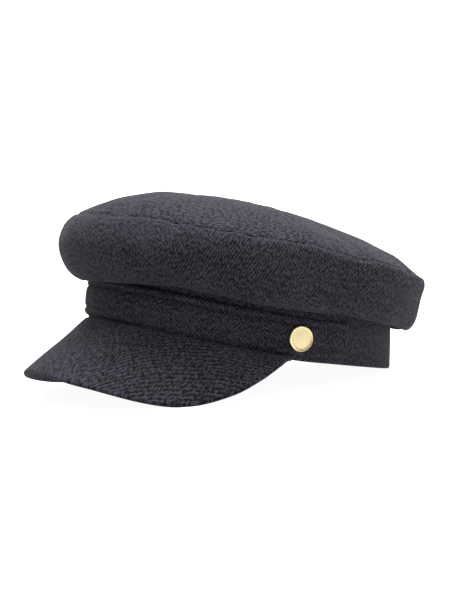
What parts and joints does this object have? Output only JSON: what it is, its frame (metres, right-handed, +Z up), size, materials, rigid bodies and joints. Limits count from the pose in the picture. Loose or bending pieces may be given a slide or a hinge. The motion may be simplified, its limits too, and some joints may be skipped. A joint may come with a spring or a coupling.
{
  "type": "peaked cap",
  "caption": "Soft peaked cap of dark wool twill: a puffed round crown over a band, a stitched strap held by side buttons, and a curved cloth-covered peak.",
  "frame": {"origin": "on the surface that the cap rests on, under the middle of its bounding box", "axes": "+Z up, the peak points towards -Y, the wearer's left is +X"},
  "size_m": [0.2082, 0.2688, 0.1255],
  "materials": {
    "wool_twill": "matte brushed wool twill in charcoal navy with paler flecks",
    "brass": "polished pale gold"
  },
  "bodies": {
    "root": {"crown_top": "wool_twill", "crown_side": "wool_twill", "crown_back": "wool_twill", "band": "wool_twill", "strap": "wool_twill", "peak": "wool_twill", "button_left": "brass", "button_right": "brass"}
  },
  "joints": []
}
